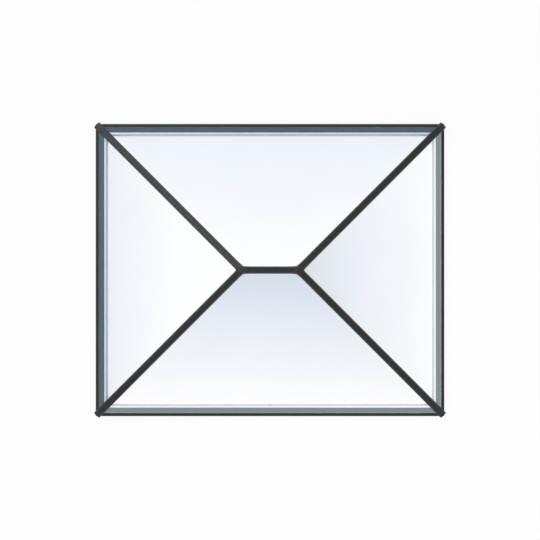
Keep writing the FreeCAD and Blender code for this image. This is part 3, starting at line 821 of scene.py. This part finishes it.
class LANTERN_OT_stage(bpy.types.Operator):
    """Pale floor, soft lamps, reflector cards and the camera overhead"""

    bl_idname = "lantern.stage"
    bl_label = "Stage"

    def execute(self, context):
        scene = context.scene
        scene.view_settings.view_transform = "Standard"
        self.floor(scene)
        self.world(scene)
        self.lamps(scene)
        self.cards(scene)
        self.lamp_face(scene)
        self.camera(scene)
        return {"FINISHED"}

    def plane(self, scene, name, corners, material):
        mesh = bpy.data.meshes.new(name)
        mesh.from_pydata(corners, [], [(0, 1, 2, 3)])
        mesh.materials.append(material)
        made = bpy.data.objects.new(name, mesh)
        scene.collection.objects.link(made)
        return made

    def card(self, scene, name, corners, material):
        """Plane that only shiny surfaces see."""
        made = self.plane(scene, name, corners, material)
        made.visible_camera = False
        made.visible_diffuse = False
        made.visible_shadow = False
        made.visible_transmission = False

    def floor(self, scene):
        """Floor that keeps a soft shadow and shows white to the camera, glass and metal."""
        material, tree = new_material("studio_floor")
        path = node(tree, "ShaderNodeLightPath").outputs
        seen = node(tree, "ShaderNodeMath", {0: path["Is Camera Ray"], 1: path["Is Glossy Ray"]},
                    operation="MAXIMUM").outputs[0]
        seen = node(tree, "ShaderNodeMath", {0: seen, 1: path["Is Transmission Ray"]},
                    operation="MAXIMUM").outputs[0]
        share = node(tree, "ShaderNodeMath", {0: seen, 1: FLOOR_GLOW}, operation="MULTIPLY").outputs[0]
        matt = node(tree, "ShaderNodeBsdfDiffuse", {"Color": (*colours().floor, 1)}).outputs[0]
        glow = node(tree, "ShaderNodeEmission", {"Color": (1, 1, 1, 1), "Strength": 1.0}).outputs[0]
        above = node(tree, "ShaderNodeMixShader", {0: share, 1: matt, 2: glow}).outputs[0]
        below = node(tree, "ShaderNodeBsdfTransparent").outputs[0]
        back = node(tree, "ShaderNodeNewGeometry").outputs["Backfacing"]
        show(tree, node(tree, "ShaderNodeMixShader", {0: back, 1: above, 2: below}).outputs[0])
        far = FLOOR_REACH
        corners = [(x, y, FLOOR_LEVEL) for x, y in ((-far, -far), (far, -far), (far, far), (-far, far))]
        self.plane(scene, "studio_floor", corners, material)

    def world(self, scene):
        """White to the camera and through glass, even to matt surfaces, with a dim belt for shiny ones."""
        world = bpy.data.worlds.new("studio")
        scene.world = world
        world.use_nodes = True
        tree = world.node_tree
        tree.nodes.clear()
        path = node(tree, "ShaderNodeLightPath").outputs
        aim = node(tree, "ShaderNodeSeparateXYZ", {
            0: node(tree, "ShaderNodeTexCoord").outputs["Generated"]}).outputs
        lean = node(tree, "ShaderNodeMath", {0: aim["X"], 1: aim["Y"]}, operation="SUBTRACT").outputs[0]
        belt = node(tree, "ShaderNodeValToRGB", {"Fac": aim["Z"]})
        bands = [(position, scaled(WORLD_TINT, level)) for position, level in WORLD_BELT]
        set_stops(belt, [(0.0, WORLD_HORIZON), (1.0, WORLD_TOP)] + bands)
        soft = node(tree, "ShaderNodeBackground", {"Color": (1, 1, 1, 1), "Strength": WORLD_SOFT}).outputs[0]
        shiny = node(tree, "ShaderNodeBackground", {
            "Color": belt.outputs["Color"], "Strength": ramp(tree, lean, -1.0, 1.0, *WORLD_SHINY)}).outputs[0]
        white = node(tree, "ShaderNodeBackground", {"Color": (1, 1, 1, 1), "Strength": 1.0}).outputs[0]
        light = node(tree, "ShaderNodeMixShader", {0: path["Is Glossy Ray"], 1: soft, 2: shiny}).outputs[0]
        seen = node(tree, "ShaderNodeMath", {0: path["Is Camera Ray"], 1: path["Is Transmission Ray"]},
                    operation="MAXIMUM").outputs[0]
        whole = node(tree, "ShaderNodeMixShader", {0: seen, 1: light, 2: white}).outputs[0]
        node(tree, "ShaderNodeOutputWorld", {"Surface": whole})

    def lamps(self, scene):
        """Large soft lamps high on the back left and on the front right, hidden from shiny surfaces."""
        for name, place, size, power in LAMPS:
            data = bpy.data.lights.new(name, "AREA")
            data.shape = "SQUARE"
            data.size = size
            data.energy = power
            lamp = bpy.data.objects.new(name, data)
            lamp.location = place
            lamp.rotation_euler = (-Vector(place)).to_track_quat("-Z", "Y").to_euler()
            lamp.visible_glossy = False
            scene.collection.objects.link(lamp)

    def cards(self, scene):
        """Four overhead reflector cards, each shaded from ridge to eaves, that only shiny surfaces see."""
        roof = Roof()
        half = CARD_HALF_WIDTH
        for name, turn, stops in CARDS:
            shift = roof.half_ridge if turn % 2 else 0.0
            start = self.seen_at(roof, shift, 0.0)
            end = self.seen_at(roof, shift, roof.half_width - sizes().glass_inset)
            near = start - CARD_RIDGE_FADE
            far = end + CARD_EAVES_END
            material, tree = new_material(name)
            place = node(tree, "ShaderNodeVectorMath", {0: object_place(tree)}, operation="ABSOLUTE").outputs[0]
            spread = node(tree, "ShaderNodeSeparateXYZ", {0: place}).outputs
            away, aside = (spread["X"], spread["Y"]) if turn % 2 else (spread["Y"], spread["X"])
            blend = node(tree, "ShaderNodeValToRGB", {"Fac": ramp(tree, away, start, end)})
            set_stops(blend, stops)
            glow = node(tree, "ShaderNodeEmission", {
                "Color": blend.outputs["Color"], "Strength": CARD_STRENGTH})
            fade = ramp(tree, away, near, start)
            for limit in (ramp(tree, away, far, end + CARD_EAVES_MARGIN),
                          ramp(tree, aside, half, half - CARD_SIDE_FADE)):
                fade = node(tree, "ShaderNodeMath", {0: fade, 1: limit}, operation="MULTIPLY").outputs[0]
            clear = node(tree, "ShaderNodeBsdfTransparent").outputs[0]
            show(tree, node(tree, "ShaderNodeMixShader", {0: fade, 1: clear, 2: glow.outputs[0]}).outputs[0])
            box = [(-half, near), (half, near), (half, far), (-half, far)]
            angle = turn * math.pi / 2
            cos, sin = math.cos(angle), math.sin(angle)
            corners = [(x * cos - y * sin, x * sin + y * cos, CARD_HEIGHT) for x, y in box]
            self.card(scene, name, corners, material)

    def lamp_face(self, scene):
        """Round face of the back left lamp, bright in its middle."""
        reach = LAMP_FACE_REACH
        material, tree = new_material("lamp_face")
        away = node(tree, "ShaderNodeVectorMath", {0: object_place(tree), 1: LAMP_FACE},
                    operation="DISTANCE")
        glow = node(tree, "ShaderNodeEmission", {
            "Color": (1, 1, 1, 1), "Strength": LAMP_FACE_STRENGTH}).outputs[0]
        clear = node(tree, "ShaderNodeBsdfTransparent").outputs[0]
        fade = ramp(tree, away.outputs["Value"], reach, LAMP_FACE_CORE)
        show(tree, node(tree, "ShaderNodeMixShader", {0: fade, 1: clear, 2: glow}).outputs[0])
        x, y, z = LAMP_FACE
        box = [(-reach, -reach), (reach, -reach), (reach, reach), (-reach, reach)]
        self.card(scene, "lamp_face", [(x + a, y + b, z) for a, b in box], material)

    def seen_at(self, roof, shift, run):
        """How far out on its card a pane shows the camera, at a plan run from the ridge."""
        tilt = 2 * roof.pitch + (shift + run) / CAMERA_HEIGHT
        height = roof.ridge_height - run * math.tan(roof.pitch)
        return shift + run + (CARD_HEIGHT - height) * math.tan(tilt)

    def camera(self, scene):
        """Straight down from far above, so that the hips stay at 45 degrees in the picture."""
        data = bpy.data.cameras.new("overhead")
        picture_span = PICTURE_WIDTH * FRAME_LENGTH / FRAME_PIXELS
        data.sensor_width = SENSOR_WIDTH
        data.lens = data.sensor_width * (CAMERA_HEIGHT - FRAME_PLANE_HEIGHT) / picture_span
        data.clip_end = CAMERA_CLIP
        camera = bpy.data.objects.new("overhead", data)
        camera.location = (0, CAMERA_NUDGE, CAMERA_HEIGHT)
        scene.collection.objects.link(camera)
        scene.camera = camera


class LANTERN_PT_panel(bpy.types.Panel):
    """Steps that dress the lantern, in order"""

    bl_label = "Roof lantern"
    bl_idname = "LANTERN_PT_panel"
    bl_space_type = "VIEW_3D"
    bl_region_type = "UI"
    bl_category = "Lantern"

    def draw(self, context):
        for step in STEPS:
            self.layout.operator(step.bl_idname)
        for group in (context.scene.lantern_sizes, context.scene.lantern_colours):
            for key in group.__annotations__:
                self.layout.prop(group, key)


STEPS = (
    LANTERN_OT_dark_metal,
    LANTERN_OT_pale_metal,
    LANTERN_OT_glazing,
    LANTERN_OT_rubber,
    LANTERN_OT_screws,
    LANTERN_OT_stage,
)
CLASSES = (LanternSizes, LanternColours) + STEPS + (LANTERN_PT_panel,)


def register():
    for item in CLASSES:
        bpy.utils.register_class(item)
    bpy.types.Scene.lantern_sizes = PointerProperty(type=LanternSizes)
    bpy.types.Scene.lantern_colours = PointerProperty(type=LanternColours)


def unregister():
    del bpy.types.Scene.lantern_colours
    del bpy.types.Scene.lantern_sizes
    for item in reversed(CLASSES):
        bpy.utils.unregister_class(item)


def main():
    register()
    bpy.ops.lantern.dark_metal()
    bpy.ops.lantern.pale_metal()
    bpy.ops.lantern.glazing()
    bpy.ops.lantern.rubber()
    bpy.ops.lantern.screws()
    bpy.ops.lantern.stage()


if __name__ == "__main__":
    main()
